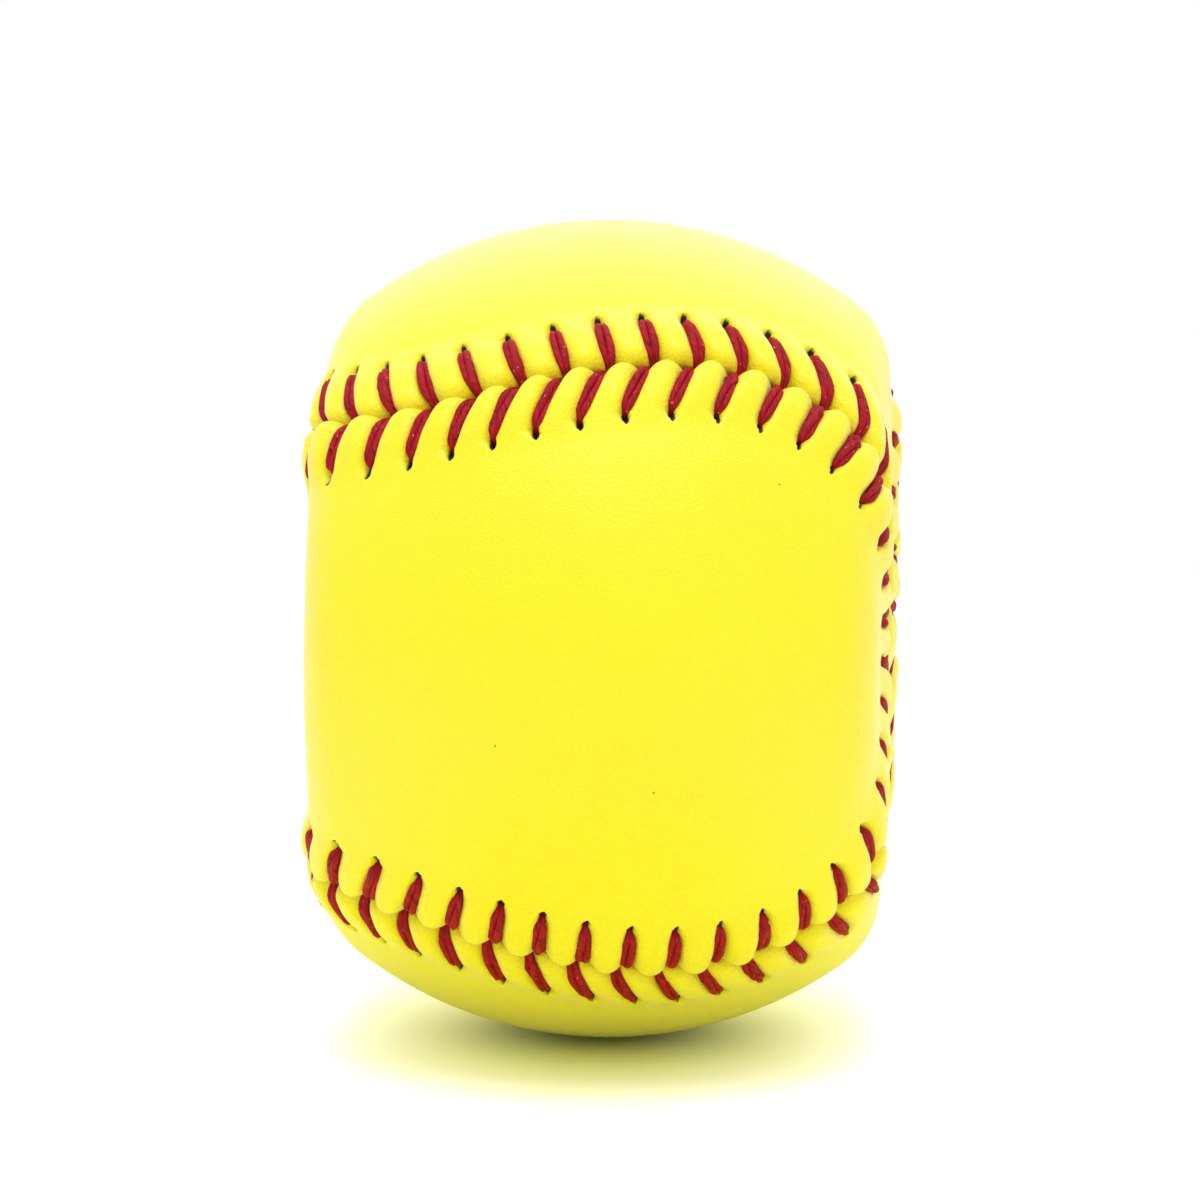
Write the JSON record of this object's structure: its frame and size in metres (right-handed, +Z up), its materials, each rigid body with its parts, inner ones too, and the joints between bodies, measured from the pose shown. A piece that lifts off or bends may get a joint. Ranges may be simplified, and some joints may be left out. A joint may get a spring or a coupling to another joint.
{
  "type": "flat-sided softball",
  "caption": "Softball with two flat sides for spin practice: a moulded core in a two-panel leather cover, laced along a figure-eight seam with thread.",
  "frame": {"origin": "centre of the ball, half way between the two flat sides", "axes": "+X through the middle of the right flat side, -Y towards the front of the picture, +Z up as the ball stands on its rim"},
  "size_m": [0.0692, 0.097, 0.097],
  "materials": {
    "core": "moulded polyurethane foam skin",
    "cover": "optic yellow, fine pebble grain",
    "lacing": "red waxed twisted thread"
  },
  "bodies": {
    "root": {"core": "core", "cover_panel_front_back": "cover", "cover_panel_top_bottom": "cover", "lacing_thread_first": "lacing", "lacing_thread_second": "lacing"}
  },
  "joints": []
}
